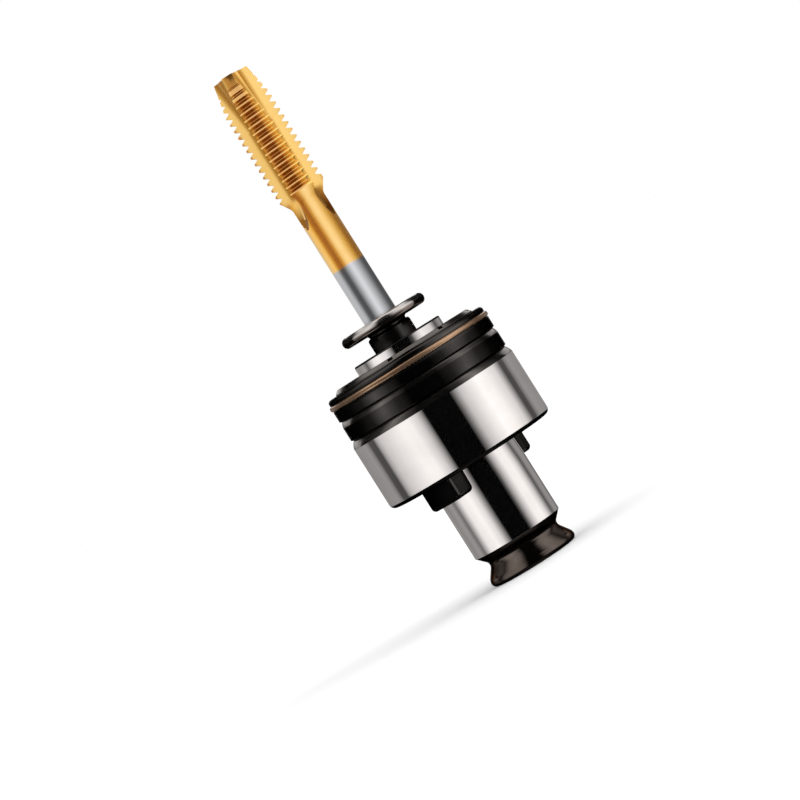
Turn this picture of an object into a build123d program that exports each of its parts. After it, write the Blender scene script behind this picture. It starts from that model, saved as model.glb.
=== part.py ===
from build123d import *
from math import atan2, cos, degrees, radians, sin, sqrt, tan
import os

# Overload-clutch tapping collet with a spiral-point tap held in it, standing on its foot.
# Millimetres, +Z up towards the tap, origin at the centre of the foot's underside.
# The two drive lugs lie on the X axis.

# Running clearances, all radial
slide_clearance = 0.05      # sleeve, shank and nut
bearing_clearance = 0.03    # spindle tail in the body
collar_clearance = 0.10     # collar in the nut's bore
ball_clearance = 0.05       # clutch ball in its hole, pocket and race
lock_ball_clearance = 0.02  # lock ball against shank and taper
seat_clearance = 0.02       # faces that rest on each other
edge_break = 0.3            # small chamfer on turned edges

# Quick-change foot and spigot, from the floor up
foot_diameter = 18.8
foot_rim_height = 0.95      # height at which the rim is widest
foot_rim_round = 0.8
flank_height = 2.9          # from the widest part of the rim up to the neck
neck_diameter = 15.34
neck_length = 0.8
neck_round = 0.7
neck_cone_height = 1.9
spigot_diameter = 19.0
spigot_ground_length = 12.0
spigot_relief = 0.2         # radial, between the lugs

# Drive lugs under the body
lug_count = 2
lug_reach = 13.9            # from the axis to the lug's outer face
lug_width = 8.0
lug_height = 4.5
lug_clearance = 0.1         # ground length to the lugs
lug_embed = 0.2             # lug's root inside the spigot's wall
lug_corner_round = 1.0
lug_bottom_round = 0.9

# Housing, each step inwards given radially
body_diameter = 36.0
body_corner_round = 1.15
grip_height = 10.5          # end of the bright band to the rim
grip_step = 0.4             # bright band to grip bands
rim_step = 0.1              # grip bands to rim
rim_wall = 2.0              # rim to the nut's thread
chamber_step = 0.9          # thread to the chamber below it
grip_groove_depth = 0.45
grip_band_height = 4.2      # from one groove's sharp edge to the next
grip_ramp_height = 1.5      # the rounded slope below each sharp edge
grip_bulge = 0.13           # how far that slope bows out
grip_undercut = 0.2
housing_height = 24.35      # underside to the rim
rim_round = 0.7
thread_runout = 0.3         # thread bore below the nut at its lowest
bottom_bore_diameter = 12.0
tail_bearing_length = 11.0

# Lock wire round the rim
wire_diameter = 1.1
wire_depth = 1.75           # wire centre below the rim
wire_groove_depth = 0.75
wire_groove_play = 0.1
wire_gap_angle = 24.0
wire_tang_bend = 1.1
wire_tang_reach = 1.0       # how far the tang stands into the nut's slot

# Overload clutch
clutch_ball_diameter = 5.0
clutch_ball_count = 6
clutch_ball_wall = 0.7      # flange left outside the balls
clutch_pocket_count = 12
clutch_pocket_depth = 1.2
flange_float = 0.15
flange_gap = 0.6            # flange to chamber, radial
flange_thickness = 2.85
race_depth = 0.5
ring_gap = 0.3              # pressure ring and washer to chamber, radial
pressure_ring_thickness = 2.0
disc_spring_count = 4
disc_spring_gap = 0.6       # to chamber, radial
disc_spring_bore = 14.2
disc_spring_thickness = 1.0
disc_spring_height = 1.65
washer_thickness = 1.4

# Adjusting nut
nut_height = 8.1
nut_proud = 0.94            # above the rim
nut_pitch = 1.5
nut_turns_down = 0.75
nut_turns_up = 0.25
nut_top_chamfer = 0.75
nut_slot_count = 8
nut_slot_width = 1.1
nut_slot_depth = 0.55
nut_slot_length = 2.0
nut_angle = 29.3            # one slot's direction from +X
nut_groove_width = 1.2
nut_groove_depth = 1.4
groove_play_turns = 0.07    # spare groove length at each end, in turns

# Spindle
spindle_neck_diameter = 14.0
tail_diameter = 10.0
tail_overhang = 2.5         # tail below its bearing
snap_wire_diameter = 1.0
snap_groove_depth = 0.3
snap_gap_angle = 40.0
drive_bore_diameter = 4.0
socket_clearance = 0.05
socket_depth = 4.8
socket_tube_diameter = 9.44
spring_pocket_depth = 3.0
spring_pocket_diameter = 11.0

# Head collar with the locking taper
collar_diameter = 19.2
collar_proud = 1.9          # above the nut
collar_round = 0.35
collar_lift_gap = 0.42      # above the washer at its highest
collar_thread_length = 3.8
collar_lip = 0.8
taper_angle = 8.0

# Release sleeve, its lock balls and spring
sleeve_diameter = 9.3
sleeve_gap = 3.6            # collar to the flange's underside
sleeve_flange_diameter = 18.4
sleeve_flange_thickness = 2.2
sleeve_neck_diameter = 8.1
sleeve_neck_length = 0.6
sleeve_shoulder_round = 0.55
sleeve_neck_round = 0.45
sleeve_tail = 5.0           # stem below the lock balls
push_travel = 2.5
push_reserve = 0.3
lock_ball_diameter = 2.0
lock_ball_count = 3
lock_ball_depth = 2.0       # below the collar's top
lock_ball_angle = 90.0
stop_ring_thickness = 0.6
stop_ring_diameter = 10.7
stop_groove_depth = 0.35
stop_ring_below = 0.6       # stem left under the ring
spring_wire_diameter = 0.5
spring_mean_diameter = 10.1
spring_turns = 5

# Tap, M10 x 1.5 with a 7 mm shank
tap_length = 75.0
tap_shank_diameter = 7.0
tap_square = 5.5
tap_square_length = 8.0
tap_end_chamfer = 0.5
tap_diameter = 10.0
tap_thread_length = 26.0
tap_taper_length = 2.4      # from the thread down to the shank
tap_lead_length = 6.5
tap_tip_diameter = 7.7
flute_count = 3
flute_radius = 2.5
flute_centre = 4.7
flute_runout = 15.0         # bend radius of the flute's centre line
flute_runout_angle = 60.0
flute_past_thread = 0.7
land_angle = -136.4         # direction of one land from +X
point_length = 11.3
point_angle = 10.0
point_sink = 0.25

# Radii used by several pieces
spigot_radius = spigot_diameter / 2
body_radius = body_diameter / 2
grip_radius = body_radius - grip_step
rim_radius = grip_radius - rim_step
thread_radius = rim_radius - rim_wall
chamber_radius = thread_radius - chamber_step
flange_radius = chamber_radius - flange_gap
pressure_ring_radius = chamber_radius - ring_gap
disc_radius = chamber_radius - disc_spring_gap
bottom_bore_radius = bottom_bore_diameter / 2
drive_bore_radius = drive_bore_diameter / 2
spring_pocket_radius = spring_pocket_diameter / 2
socket_tube_radius = socket_tube_diameter / 2
sleeve_flange_radius = sleeve_flange_diameter / 2
sleeve_neck_radius = sleeve_neck_diameter / 2
stop_ring_radius = stop_ring_diameter / 2
tap_radius = tap_diameter / 2
tip_radius = tap_tip_diameter / 2
wire_radius = wire_diameter / 2
clutch_ball_radius = clutch_ball_diameter / 2
clutch_radius = flange_radius - clutch_ball_wall - clutch_ball_radius
disc_bore_radius = disc_spring_bore / 2
neck_tube_radius = spindle_neck_diameter / 2
tail_radius = tail_diameter / 2
collar_radius = collar_diameter / 2
sleeve_radius = sleeve_diameter / 2
shank_radius = tap_shank_diameter / 2
lock_ball_radius = lock_ball_diameter / 2
snap_wire_radius = snap_wire_diameter / 2
sleeve_bore_radius = shank_radius + slide_clearance
nut_radius = thread_radius - slide_clearance
nut_bore_radius = collar_radius + collar_clearance

# Heights of the housing
neck_bottom = foot_rim_height + flank_height
neck_top = neck_bottom + neck_length
spigot_start = neck_top + neck_cone_height
spigot_end = spigot_start + spigot_ground_length
lug_bottom = spigot_end + lug_clearance
underside = lug_bottom + lug_height
rim_top = underside + housing_height
band_top = rim_top - grip_height
wire_height = rim_top - wire_depth

# Heights of the nut and the clutch, from the rim down to the balls in their pockets
nut_top = rim_top + nut_proud
nut_bottom = nut_top - nut_height
washer_top = nut_bottom
washer_bottom = washer_top - washer_thickness
ring_top = washer_bottom - disc_spring_count * disc_spring_height - 2 * seat_clearance
ring_bottom = ring_top - pressure_ring_thickness
clutch_ball_height = ring_bottom - clutch_ball_radius + race_depth
floor_top = clutch_ball_height - clutch_ball_radius + clutch_pocket_depth
flange_bottom = floor_top + flange_float
flange_top = flange_bottom + flange_thickness
bearing_bottom = floor_top - tail_bearing_length

# Heights of the spindle, collar and sleeve
collar_bottom = washer_top + nut_turns_up * nut_pitch + collar_lift_gap
collar_top = nut_top + collar_proud
spindle_top = collar_bottom + collar_thread_length
lock_ball_height = collar_top - lock_ball_depth
stem_bottom = lock_ball_height - sleeve_tail
stop_ring_bottom = stem_bottom + stop_ring_below
socket_top = stem_bottom - push_travel - push_reserve
spring_seat = socket_top - spring_pocket_depth
tap_end = socket_top - socket_depth
flange_underside = collar_top + sleeve_gap
sleeve_top = flange_underside + sleeve_flange_thickness
tail_bottom = bearing_bottom - tail_overhang
snap_ring_height = bearing_bottom - flange_float - snap_wire_radius
tap_tip = tap_end + tap_length
thread_end = tap_tip - tap_thread_length

# The lock balls touch the shank inside and the collar's taper outside
lock_ball_reach = shank_radius + lock_ball_radius + lock_ball_clearance
taper_at_ball = lock_ball_reach + (lock_ball_radius + lock_ball_clearance) / cos(radians(taper_angle))


def taper_radius(height):
    """Radius of the collar's locking taper, which narrows upwards."""
    return taper_at_ball + (lock_ball_height - height) * tan(radians(taper_angle))


def facing(angle, height, distance):
    """A plane square to the direction at this angle from +X, with its local Y upwards."""
    out = (cos(radians(angle)), sin(radians(angle)), 0)
    along = (-sin(radians(angle)), cos(radians(angle)), 0)
    return Plane(origin=(0, 0, height), x_dir=along, z_dir=out).offset(distance)


os.makedirs("parts", exist_ok=True)

# Drive body: foot, spigot, lugs and clutch housing in one piece
groove_2_edge = band_top + grip_ramp_height + grip_undercut
groove_1_edge = groove_2_edge + grip_band_height
groove_radius = grip_radius - grip_groove_depth
wire_groove_floor = rim_radius - wire_groove_depth
wire_groove_half = wire_radius + wire_groove_play / 2
thread_bottom = nut_bottom - nut_turns_down * nut_pitch - washer_thickness - thread_runout

with BuildPart() as drive_body:
    with BuildSketch(Plane.XZ):
        with BuildLine():
            FilletPolyline(
                (bottom_bore_radius + edge_break, 0),
                (foot_diameter / 2, 0),
                (foot_diameter / 2, foot_rim_height + foot_rim_round / 2),
                (neck_diameter / 2, neck_bottom),
                (neck_diameter / 2, neck_top),
                (spigot_radius, spigot_start),
                radius=[foot_rim_round, foot_rim_round / 2, neck_round, neck_round],
            )
            Polyline(
                (spigot_radius, spigot_start),
                (spigot_radius, spigot_end),
                (spigot_radius - spigot_relief, spigot_end),
                (spigot_radius - spigot_relief, underside),
                (body_radius - body_corner_round, underside),
            )
            RadiusArc(
                (body_radius - body_corner_round, underside),
                (body_radius, underside + body_corner_round),
                -body_corner_round,
            )
            Line((body_radius, underside + body_corner_round), (body_radius, band_top))
            ramp_middle = band_top + grip_ramp_height / 2
            ThreePointArc(
                (body_radius, band_top),
                ((body_radius + groove_radius) / 2 + grip_bulge, ramp_middle),
                (groove_radius, band_top + grip_ramp_height),
            )
            ramp_start = groove_1_edge - grip_undercut - grip_ramp_height
            Polyline(
                (groove_radius, band_top + grip_ramp_height),
                (grip_radius, groove_2_edge),
                (grip_radius, ramp_start),
            )
            ThreePointArc(
                (grip_radius, ramp_start),
                ((grip_radius + groove_radius) / 2 + grip_bulge, ramp_start + grip_ramp_height / 2),
                (groove_radius, ramp_start + grip_ramp_height),
            )
            Polyline(
                (groove_radius, ramp_start + grip_ramp_height),
                (grip_radius, groove_1_edge),
                (grip_radius, wire_height - wire_groove_half),
                (wire_groove_floor, wire_height - wire_groove_half),
                (wire_groove_floor, wire_height + wire_groove_half),
                (rim_radius, wire_height + wire_groove_half),
                (rim_radius, rim_top - rim_round),
            )
            RadiusArc(
                (rim_radius, rim_top - rim_round),
                (rim_radius - rim_round, rim_top),
                -rim_round,
            )
            Polyline(
                (rim_radius - rim_round, rim_top),
                (thread_radius + edge_break, rim_top),
                (thread_radius, rim_top - edge_break),
                (thread_radius, thread_bottom),
                (chamber_radius, thread_bottom),
                (chamber_radius, floor_top),
                (tail_radius + bearing_clearance, floor_top),
                (tail_radius + bearing_clearance, bearing_bottom),
                (bottom_bore_radius, bearing_bottom),
                (bottom_bore_radius, edge_break),
                (bottom_bore_radius + edge_break, 0),
            )
        make_face()
    revolve(axis=Axis.Z)

    # Lugs: turned outer faces, flat flanks, reaching into the spigot's wall
    relief_radius = spigot_radius - spigot_relief
    lug_root = sqrt(relief_radius**2 - (lug_width / 2) ** 2) - lug_embed
    with BuildSketch(Plane.XY.offset(lug_bottom)):
        with PolarLocations((lug_root + lug_reach) / 2, lug_count):
            Rectangle(lug_reach - lug_root, lug_width)
        Circle(lug_reach, mode=Mode.INTERSECT)
    extrude(amount=lug_height)
    lug_faces = drive_body.faces().filter_by(GeomType.CYLINDER).filter_by(
        lambda face: abs(face.radius - lug_reach) < seat_clearance
    )
    fillet(lug_faces.edges().filter_by(Axis.Z), lug_corner_round)
    lug_rims = drive_body.edges().filter_by(
        lambda edge: abs(edge.center().Z - lug_bottom) < seat_clearance
        and Vector(edge.center().X, edge.center().Y).length > spigot_radius
    )
    fillet(lug_rims, lug_bottom_round)

    # Clutch pockets in the floor
    with Locations(Plane.XY.offset(clutch_ball_height)):
        with PolarLocations(clutch_radius, clutch_pocket_count):
            Sphere(clutch_ball_radius + ball_clearance, mode=Mode.SUBTRACT)

    # Window for the lock wire's tang
    window_length = wire_tang_bend + wire_radius
    with BuildSketch(facing(nut_angle, wire_height, nut_radius - nut_groove_depth)):
        with Locations((window_length / 2, 0)):
            SlotCenterToCenter(window_length, 2 * wire_groove_half)
    extrude(amount=rim_radius - nut_radius + nut_groove_depth, mode=Mode.SUBTRACT)

drive_body.part.label = "drive_body"
export_step(drive_body.part, "parts/drive_body.step")

# Lock wire: an open ring whose end is bent in through the window
wire_line_radius = wire_groove_floor + wire_groove_play / 2 + wire_radius
bend_reach = sqrt((wire_line_radius - wire_tang_bend) ** 2 - wire_tang_bend**2)
bend_angle = degrees(atan2(wire_tang_bend, bend_reach))
tang_tip = nut_radius - wire_tang_reach

with BuildPart() as lock_wire:
    ring_plane = Plane(
        origin=(0, 0, wire_height),
        x_dir=(cos(radians(nut_angle)), sin(radians(nut_angle)), 0),
        z_dir=(0, 0, 1),
    )
    with BuildLine(ring_plane) as wire_line:
        Line((tang_tip, 0), (bend_reach, 0))
        CenterArc((bend_reach, wire_tang_bend), wire_tang_bend, -90, 90 + bend_angle)
        CenterArc((0, 0), wire_line_radius, bend_angle, 360 - wire_gap_angle)
    with BuildSketch(facing(nut_angle, wire_height, tang_tip)):
        Circle(wire_radius)
    sweep(path=wire_line.line)

lock_wire.part.label = "lock_wire"
export_step(lock_wire.part, "parts/lock_wire.step")

# Spindle: tail, ball flange, neck and square socket
snap_groove_floor = tail_radius - snap_groove_depth
snap_groove_half = snap_wire_radius + slide_clearance

with BuildPart() as spindle:
    with BuildSketch(Plane.XZ):
        with BuildLine():
            Polyline(
                (drive_bore_radius, tail_bottom),
                (tail_radius - edge_break, tail_bottom),
                (tail_radius, tail_bottom + edge_break),
                (tail_radius, snap_ring_height - snap_groove_half),
                (snap_groove_floor, snap_ring_height - snap_groove_half),
                (snap_groove_floor, snap_ring_height + snap_groove_half),
                (tail_radius, snap_ring_height + snap_groove_half),
                (tail_radius, flange_bottom),
                (flange_radius - edge_break, flange_bottom),
                (flange_radius, flange_bottom + edge_break),
                (flange_radius, flange_top - edge_break),
                (flange_radius - edge_break, flange_top),
                (neck_tube_radius, flange_top),
                (neck_tube_radius, spindle_top),
                (spring_pocket_radius, spindle_top),
                (spring_pocket_radius, spring_seat),
                (socket_tube_radius, spring_seat),
                (socket_tube_radius, socket_top),
                (drive_bore_radius, socket_top),
                close=True,
            )
        make_face()
    revolve(axis=Axis.Z)

    with BuildSketch(Plane.XY.offset(tap_end - seat_clearance)):
        Rectangle(tap_square + 2 * socket_clearance, tap_square + 2 * socket_clearance)
        Circle(shank_radius + socket_clearance, mode=Mode.INTERSECT)
    extrude(amount=socket_top - tap_end + seat_clearance, mode=Mode.SUBTRACT)

    with BuildSketch(Plane.XY.offset(flange_bottom)):
        with PolarLocations(clutch_radius, clutch_ball_count):
            Circle(clutch_ball_radius + ball_clearance)
    extrude(amount=flange_thickness, mode=Mode.SUBTRACT)

spindle.part.label = "spindle"
export_step(spindle.part, "parts/spindle.step")

# Snap ring that holds the tail under its bearing
with BuildPart() as tail_snap_ring:
    with BuildSketch(Plane.XZ):
        with Locations((snap_groove_floor + seat_clearance + snap_wire_radius, snap_ring_height)):
            Circle(snap_wire_radius)
    revolve(axis=Axis.Z, revolution_arc=360 - snap_gap_angle)

tail_snap_ring.part.label = "tail_snap_ring"
export_step(tail_snap_ring.part, "parts/tail_snap_ring.step")

# Collar screwed on the neck, with the taper that closes on the lock balls
taper_bottom = spindle_top + seat_clearance
lip_bottom = collar_top - collar_lip
collar_thread_radius = neck_tube_radius + seat_clearance

with BuildPart() as lock_collar:
    with BuildSketch(Plane.XZ):
        with BuildLine():
            Polyline(
                (collar_thread_radius, collar_bottom),
                (collar_radius - edge_break, collar_bottom),
                (collar_radius, collar_bottom + edge_break),
                (collar_radius, collar_top - collar_round),
            )
            RadiusArc(
                (collar_radius, collar_top - collar_round),
                (collar_radius - collar_round, collar_top),
                -collar_round,
            )
            Polyline(
                (collar_radius - collar_round, collar_top),
                (sleeve_radius + slide_clearance, collar_top),
                (sleeve_radius + slide_clearance, lip_bottom),
                (taper_radius(lip_bottom), lip_bottom),
                (taper_radius(taper_bottom), taper_bottom),
                (collar_thread_radius, taper_bottom),
                (collar_thread_radius, collar_bottom),
            )
        make_face()
    revolve(axis=Axis.Z)

lock_collar.part.label = "lock_collar"
export_step(lock_collar.part, "parts/lock_collar.step")

# Release sleeve: a stem with ball windows under a round-edged flange
shoulder_top = flange_underside - sleeve_neck_length
stop_groove_floor = sleeve_radius - stop_groove_depth
stop_groove_bottom = stop_ring_bottom - seat_clearance
stop_groove_top = stop_ring_bottom + stop_ring_thickness + seat_clearance
flange_edge = sleeve_flange_radius - sleeve_flange_thickness / 2

with BuildPart() as release_sleeve:
    with BuildSketch(Plane.XZ):
        with BuildLine():
            Polyline(
                (sleeve_bore_radius, stem_bottom),
                (sleeve_radius - edge_break, stem_bottom),
                (sleeve_radius, stem_bottom + edge_break),
                (sleeve_radius, stop_groove_bottom),
                (stop_groove_floor, stop_groove_bottom),
                (stop_groove_floor, stop_groove_top),
                (sleeve_radius, stop_groove_top),
                (sleeve_radius, shoulder_top - sleeve_shoulder_round),
            )
            RadiusArc(
                (sleeve_radius, shoulder_top - sleeve_shoulder_round),
                (sleeve_radius - sleeve_shoulder_round, shoulder_top),
                -sleeve_shoulder_round,
            )
            Polyline(
                (sleeve_radius - sleeve_shoulder_round, shoulder_top),
                (sleeve_neck_radius, shoulder_top),
                (sleeve_neck_radius, flange_underside - sleeve_neck_round),
            )
            RadiusArc(
                (sleeve_neck_radius, flange_underside - sleeve_neck_round),
                (sleeve_neck_radius + sleeve_neck_round, flange_underside),
                sleeve_neck_round,
            )
            Line((sleeve_neck_radius + sleeve_neck_round, flange_underside), (flange_edge, flange_underside))
            ThreePointArc(
                (flange_edge, flange_underside),
                (sleeve_flange_radius, (flange_underside + sleeve_top) / 2),
                (flange_edge, sleeve_top),
            )
            Polyline(
                (flange_edge, sleeve_top),
                (sleeve_bore_radius + edge_break, sleeve_top),
                (sleeve_bore_radius, sleeve_top - edge_break),
                (sleeve_bore_radius, stem_bottom),
            )
        make_face()
    revolve(axis=Axis.Z)

    for number in range(lock_ball_count):
        window_angle = lock_ball_angle + number * 360 / lock_ball_count
        with BuildSketch(facing(window_angle, lock_ball_height, 0)):
            Circle(lock_ball_radius + lock_ball_clearance)
        extrude(amount=sleeve_radius + edge_break, mode=Mode.SUBTRACT)

release_sleeve.part.label = "release_sleeve"
export_step(release_sleeve.part, "parts/release_sleeve.step")

# Stop ring in the stem's groove, which the release spring pushes up
with BuildPart() as sleeve_stop_ring:
    with BuildSketch(Plane.XZ):
        with Locations((stop_groove_floor + seat_clearance, stop_ring_bottom)):
            Rectangle(
                stop_ring_radius - stop_groove_floor - seat_clearance,
                stop_ring_thickness,
                align=(Align.MIN, Align.MIN),
            )
    revolve(axis=Axis.Z, revolution_arc=360 - snap_gap_angle)

sleeve_stop_ring.part.label = "sleeve_stop_ring"
export_step(sleeve_stop_ring.part, "parts/sleeve_stop_ring.step")

# Release spring round the socket and the foot of the stem
spring_bottom = spring_seat + seat_clearance + spring_wire_diameter / 2
spring_height = stop_ring_bottom - seat_clearance - spring_wire_diameter / 2 - spring_bottom

with BuildPart() as release_spring:
    with BuildLine():
        coil = Helix(
            spring_height / spring_turns,
            spring_height,
            spring_mean_diameter / 2,
            center=(0, 0, spring_bottom),
        )
    with BuildSketch(Plane(origin=coil @ 0, z_dir=coil % 0)):
        Circle(spring_wire_diameter / 2)
    sweep(is_frenet=True)

release_spring.part.label = "release_spring"
export_step(release_spring.part, "parts/release_spring.step")

# Lock balls in the sleeve's windows
for number in range(lock_ball_count):
    ball_angle = lock_ball_angle + number * 360 / lock_ball_count
    with BuildPart() as lock_ball:
        with Locations(facing(ball_angle, lock_ball_height, lock_ball_reach)):
            Sphere(lock_ball_radius)
    name = f"lock_ball_{number + 1}"
    lock_ball.part.label = name
    export_step(lock_ball.part, f"parts/{name}.step")

# Clutch balls in the spindle's flange
for number in range(clutch_ball_count):
    ball_angle = number * 360 / clutch_ball_count
    with BuildPart() as clutch_ball:
        with Locations(facing(ball_angle, clutch_ball_height, clutch_radius)):
            Sphere(clutch_ball_radius)
    name = f"clutch_ball_{number + 1}"
    clutch_ball.part.label = name
    export_step(clutch_ball.part, f"parts/{name}.step")

# Pressure ring, with a race for the clutch balls
with BuildPart() as pressure_ring:
    with BuildSketch(Plane.XZ) as ring_section:
        with Locations((neck_tube_radius + slide_clearance, ring_bottom)):
            Rectangle(
                pressure_ring_radius - neck_tube_radius - slide_clearance,
                pressure_ring_thickness,
                align=(Align.MIN, Align.MIN),
            )
        chamfer(ring_section.vertices(), edge_break)
        with Locations((clutch_radius, clutch_ball_height)):
            Circle(clutch_ball_radius + ball_clearance, mode=Mode.SUBTRACT)
    revolve(axis=Axis.Z)

pressure_ring.part.label = "pressure_ring"
export_step(pressure_ring.part, "parts/pressure_ring.step")

# Disc springs, stacked point to point
cone_rise = disc_spring_height - disc_spring_thickness
for number in range(disc_spring_count):
    level = ring_top + seat_clearance + number * disc_spring_height
    inner_rise = cone_rise if number % 2 == 0 else 0
    outer_rise = cone_rise - inner_rise
    with BuildPart() as disc_spring:
        with BuildSketch(Plane.XZ):
            with BuildLine():
                Polyline(
                    (disc_bore_radius, level + inner_rise),
                    (disc_radius, level + outer_rise),
                    (disc_radius, level + outer_rise + disc_spring_thickness),
                    (disc_bore_radius, level + inner_rise + disc_spring_thickness),
                    close=True,
                )
            make_face()
        revolve(axis=Axis.Z)
    name = f"disc_spring_{number + 1}"
    disc_spring.part.label = name
    export_step(disc_spring.part, f"parts/{name}.step")

# Thrust washer between the springs and the nut
with BuildPart() as thrust_washer:
    with BuildSketch(Plane.XZ) as washer_section:
        with Locations((disc_bore_radius, washer_bottom)):
            Rectangle(
                pressure_ring_radius - disc_bore_radius,
                washer_thickness,
                align=(Align.MIN, Align.MIN),
            )
        chamfer(washer_section.vertices(), edge_break)
    revolve(axis=Axis.Z)

thrust_washer.part.label = "thrust_washer"
export_step(thrust_washer.part, "parts/thrust_washer.step")

# Adjusting nut, with key slots on top and grooves for the wire's tang
nut_groove_bottom = wire_height - wire_radius - (nut_turns_up + groove_play_turns) * nut_pitch
nut_groove_top = wire_height + wire_radius + (nut_turns_down + groove_play_turns) * nut_pitch

with BuildPart() as adjusting_nut:
    with BuildSketch(Plane.XZ):
        with BuildLine():
            Polyline(
                (nut_bore_radius, nut_bottom + edge_break),
                (nut_bore_radius + edge_break, nut_bottom),
                (nut_radius - edge_break, nut_bottom),
                (nut_radius, nut_bottom + edge_break),
                (nut_radius, nut_top - nut_top_chamfer),
                (nut_radius - nut_top_chamfer, nut_top),
                (nut_bore_radius + edge_break, nut_top),
                (nut_bore_radius, nut_top - edge_break),
                close=True,
            )
        make_face()
    revolve(axis=Axis.Z)

    slot_start = nut_radius - nut_top_chamfer - nut_slot_length
    with BuildSketch(Plane.XY.offset(nut_top - nut_slot_depth)):
        with PolarLocations((slot_start + thread_radius) / 2, nut_slot_count, start_angle=nut_angle):
            Rectangle(thread_radius - slot_start, nut_slot_width)
    extrude(amount=nut_slot_depth, mode=Mode.SUBTRACT)

    groove_start = nut_radius - nut_groove_depth
    with BuildSketch(Plane.XY.offset(nut_groove_bottom)):
        with PolarLocations((groove_start + thread_radius) / 2, nut_slot_count, start_angle=nut_angle):
            Rectangle(thread_radius - groove_start, nut_groove_width)
    extrude(amount=nut_groove_top - nut_groove_bottom, mode=Mode.SUBTRACT)

adjusting_nut.part.label = "adjusting_nut"
export_step(adjusting_nut.part, "parts/adjusting_nut.step")

# One flute and the slanted spiral-point cut at its mouth, on the X axis
point_start = tap_tip - point_length
with BuildPart() as flute_cutter:
    with BuildLine(Plane.XZ) as flute_line:
        mouth = Line((flute_centre, tap_tip + flute_radius), (flute_centre, thread_end - flute_past_thread))
        JernArc(mouth @ 1, mouth % 1, flute_runout, flute_runout_angle)
    with BuildSketch(Plane.XY.offset(tap_tip + flute_radius)):
        with Locations((flute_centre, 0)):
            Circle(flute_radius)
    sweep(path=flute_line.line)
    slant = (0, -sin(radians(point_angle)), cos(radians(point_angle)))
    with Locations(Plane(origin=(flute_centre - point_sink, 0, point_start), z_dir=slant)):
        Cylinder(flute_radius, point_length + flute_radius, align=(Align.CENTER, Align.CENTER, Align.MIN))

# Tap: square, shank, threaded length at its full diameter, tapered lead
with BuildPart() as tap:
    with BuildSketch(Plane.XZ):
        with BuildLine():
            Polyline(
                (0, tap_end),
                (shank_radius - tap_end_chamfer, tap_end),
                (shank_radius, tap_end + tap_end_chamfer),
                (shank_radius, thread_end - tap_taper_length),
                (tap_radius, thread_end),
                (tap_radius, tap_tip - tap_lead_length),
                (tip_radius, tap_tip),
                (0, tap_tip),
                close=True,
            )
        make_face()
    revolve(axis=Axis.Z)

    with BuildSketch(Plane.XY.offset(tap_end)):
        Circle(tap_radius)
        Rectangle(tap_square, tap_square, mode=Mode.SUBTRACT)
    extrude(amount=tap_square_length, mode=Mode.SUBTRACT)

    for number in range(flute_count):
        flute_angle = land_angle + (number + 0.5) * 360 / flute_count
        add(flute_cutter.part.rotate(Axis.Z, flute_angle), mode=Mode.SUBTRACT)

tap.part.label = "tap"
export_step(tap.part, "parts/tap.step")
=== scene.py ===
import bpy
import bmesh
import math
from mathutils import Matrix, Vector


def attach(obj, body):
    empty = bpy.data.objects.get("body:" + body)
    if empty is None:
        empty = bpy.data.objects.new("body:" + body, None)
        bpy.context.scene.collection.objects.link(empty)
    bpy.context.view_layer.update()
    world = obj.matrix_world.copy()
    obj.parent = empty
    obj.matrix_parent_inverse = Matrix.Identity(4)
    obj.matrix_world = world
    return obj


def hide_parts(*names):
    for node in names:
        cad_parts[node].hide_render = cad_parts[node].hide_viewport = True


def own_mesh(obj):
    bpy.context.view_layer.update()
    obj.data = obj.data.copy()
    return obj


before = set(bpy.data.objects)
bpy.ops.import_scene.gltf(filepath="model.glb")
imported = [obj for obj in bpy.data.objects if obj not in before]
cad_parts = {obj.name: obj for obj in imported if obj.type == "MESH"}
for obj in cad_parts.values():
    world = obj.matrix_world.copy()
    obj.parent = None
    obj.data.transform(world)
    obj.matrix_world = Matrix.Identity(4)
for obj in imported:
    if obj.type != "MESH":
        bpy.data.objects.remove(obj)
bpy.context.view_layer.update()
mm = 0.001
upright = Vector((0, 0, 1))
halfTurn = 180
quarterTurn = 90
white = (1.0, 1.0, 1.0)
print("stage: frame loaded")

# Camera: level with the nut, rolled so that the tool leans to the upper left
cameraView = {
    "direction": -140.0,  # degrees from +X
    "distance": 700.0,
    "height": 52.0,
    "aimHeight": 40.4,
    "aimLeft": 5.4,
    "roll": 32.2,
    "widthSeen": 154.4,
    "sensor": 36.0,
    "nearClip": 0.01,  # both clips are in metres
    "farClip": 20.0,
}


def polar(angle, radius=1.0, height=0.0):
    turn = math.radians(angle)
    return Vector((radius * math.cos(turn), radius * math.sin(turn), height))


def placeCamera(view):
    place = polar(view["direction"], view["distance"], view["height"]) * mm
    left = polar(view["direction"] - quarterTurn)
    aim = (left * view["aimLeft"] + upright * view["aimHeight"]) * mm
    forward = (aim - place).normalized()
    side = forward.cross(upright).normalized()
    above = side.cross(forward)
    roll = math.radians(view["roll"])
    rolledSide = side * math.cos(roll) - above * math.sin(roll)
    rolledAbove = above * math.cos(roll) + side * math.sin(roll)
    data = bpy.data.cameras.new("photoCamera")
    data.sensor_width = view["sensor"]
    data.lens = view["sensor"] * view["distance"] / view["widthSeen"]
    data.clip_start = view["nearClip"]
    data.clip_end = view["farClip"]
    camera = bpy.data.objects.new("photoCamera", data)
    bpy.context.scene.collection.objects.link(camera)
    facing = Matrix((rolledSide, rolledAbove, -forward)).transposed()
    camera.matrix_world = Matrix.Translation(place) @ facing.to_4x4()
    bpy.context.scene.camera = camera


placeCamera(cameraView)
bpy.context.scene.view_settings.view_transform = "Standard"

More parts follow.
